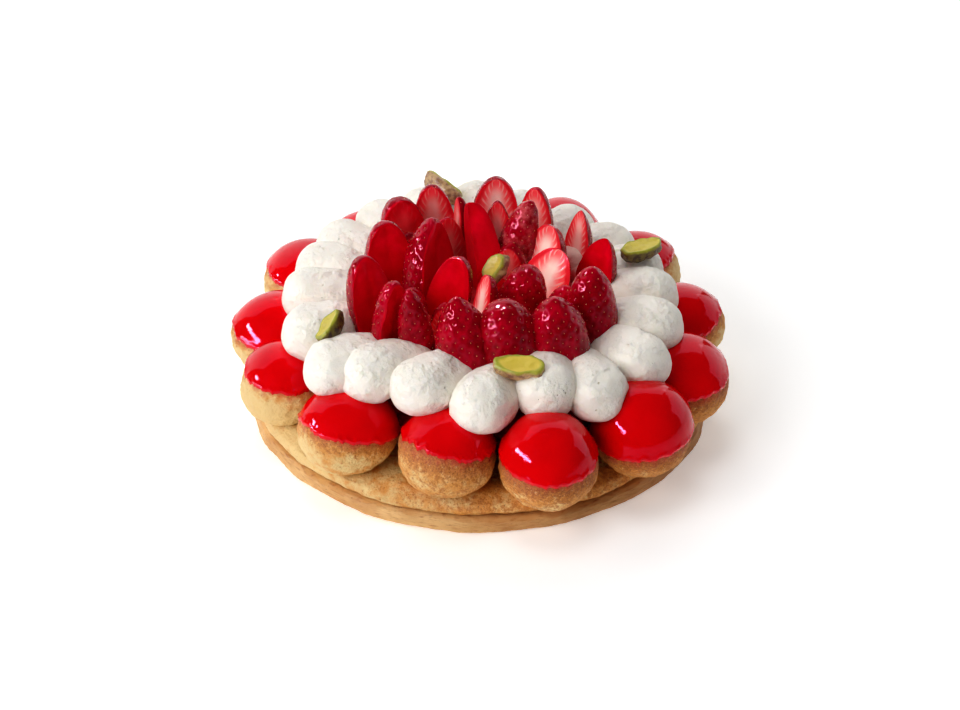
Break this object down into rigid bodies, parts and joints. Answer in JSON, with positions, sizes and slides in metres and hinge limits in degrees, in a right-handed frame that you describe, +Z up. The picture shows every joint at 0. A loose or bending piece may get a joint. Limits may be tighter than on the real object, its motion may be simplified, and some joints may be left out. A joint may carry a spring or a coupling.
{
  "type": "saint-honore cake",
  "caption": "Round cake on a flaky pastry disc: a ring of red-glazed choux puffs round a crown of piped cream that holds upright cut strawberries and pistachios.",
  "frame": {"origin": "centre of the flat underside of the pastry disc", "axes": "+Z up through the middle of the cake; -Y is the side that the picture looks at, with +X to its right"},
  "size_m": [0.1942, 0.1961, 0.0781],
  "materials": {
    "flaky_pastry": "dry baked flaky pastry, browned edge",
    "choux": "baked choux, satin, golden with paler patches",
    "glaze": "wet mirror-like red sugar glaze",
    "cream": "piped vanilla cream, soft satin with fine pits",
    "strawberry": "moist red fruit with pale seeds, smooth cut faces",
    "pistachio": "green nut with purple-brown skin, satin"
  },
  "bodies": {
    "root": {"pastry_base": "flaky_pastry", "choux_ring": "choux", "cream": "cream", "puff_01": "choux", "puff_02": "choux", "puff_03": "choux", "puff_04": "choux", "puff_05": "choux", "puff_06": "choux", "puff_07": "choux", "puff_08": "choux", "puff_09": "choux", "puff_10": "choux", "puff_11": "choux", "puff_12": "choux", "puff_13": "choux", "strawberry_01": "strawberry", "strawberry_02": "strawberry", "strawberry_03": "strawberry", "strawberry_04": "strawberry", "strawberry_05": "strawberry", "strawberry_06": "strawberry", "strawberry_07": "strawberry", "strawberry_08": "strawberry", "strawberry_09": "strawberry", "strawberry_10": "strawberry", "strawberry_11": "strawberry", "strawberry_12": "strawberry", "strawberry_13": "strawberry", "strawberry_14": "strawberry", "strawberry_15": "strawberry", "strawberry_16": "strawberry", "strawberry_17": "strawberry", "strawberry_18": "strawberry", "strawberry_19": "strawberry", "strawberry_20": "strawberry", "strawberry_21": "strawberry", "strawberry_22": "strawberry", "strawberry_23": "strawberry", "strawberry_24": "strawberry", "strawberry_25": "strawberry", "strawberry_26": "strawberry", "strawberry_27": "strawberry", "strawberry_28": "strawberry", "strawberry_29": "strawberry", "strawberry_30": "strawberry", "pistachio_01": "pistachio", "pistachio_02": "pistachio", "pistachio_03": "pistachio", "pistachio_04": "pistachio", "pistachio_05": "pistachio"}
  },
  "joints": []
}
